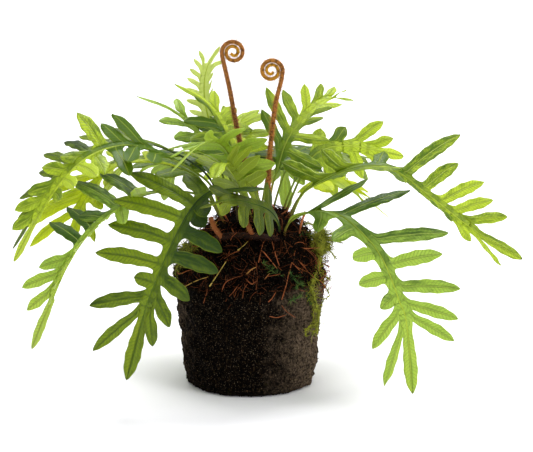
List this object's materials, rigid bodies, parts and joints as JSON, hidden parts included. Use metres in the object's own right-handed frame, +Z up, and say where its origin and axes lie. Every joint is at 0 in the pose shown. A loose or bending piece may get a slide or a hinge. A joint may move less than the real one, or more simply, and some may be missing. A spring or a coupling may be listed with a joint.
{
  "type": "hare's foot fern with its root ball",
  "caption": "Fern with deep-cut arching fronds and furry rolled croziers, growing from a mound of wiry roots and moss on a tapered peat block that stands on its flat foot.",
  "frame": {"origin": "middle of the flat foot of the peat block, on the surface that it stands on", "axes": "+Z up, +X to the right and -Y towards the viewer of the picture"},
  "size_m": [0.4234, 0.3107, 0.293],
  "materials": {
    "peat": "matt, crumbly dark peat with tan flecks",
    "roots": "matt, wiry rust-brown roots over a nearly black core",
    "rhizome": "matt, reddish brown scales",
    "moss": "matt, yellow-green moss",
    "fur": "matt, rust-brown fur",
    "deep": "satin dark green leaf, plant tissue that is mostly water",
    "leaf": "satin mid green leaf, plant tissue that is mostly water",
    "bright": "satin light green leaf, plant tissue that is mostly water",
    "yellow": "satin yellow-green leaf with light coming through",
    "olive": "matt olive green leaf",
    "pale": "pale young leaf with light coming through"
  },
  "bodies": {
    "root": {"peat_block": "peat", "root_mound": "roots", "rhizome": "rhizome", "moss_left": "moss", "moss_right": "moss", "crozier_left": "fur", "crozier_right": "fur", "frond_front_left": "deep", "frond_front_right": "leaf", "frond_left_arch": "bright", "frond_right_arch": "bright", "frond_left_low": "leaf", "frond_front_centre": "olive", "frond_centre_left": "leaf", "frond_centre_star": "bright", "frond_right_back": "bright", "frond_back_right": "bright", "frond_right_under": "yellow", "frond_left_back_low": "yellow", "frond_left_back": "deep", "frond_back_left_mid": "leaf", "frond_back_left_high": "bright", "frond_pale_young": "pale", "frond_back_centre": "bright", "frond_back_one": "leaf", "frond_back_two": "bright", "frond_back_three": "leaf", "frond_back_four": "bright", "frond_back_five": "leaf", "frond_back_six": "bright"}
  },
  "joints": []
}
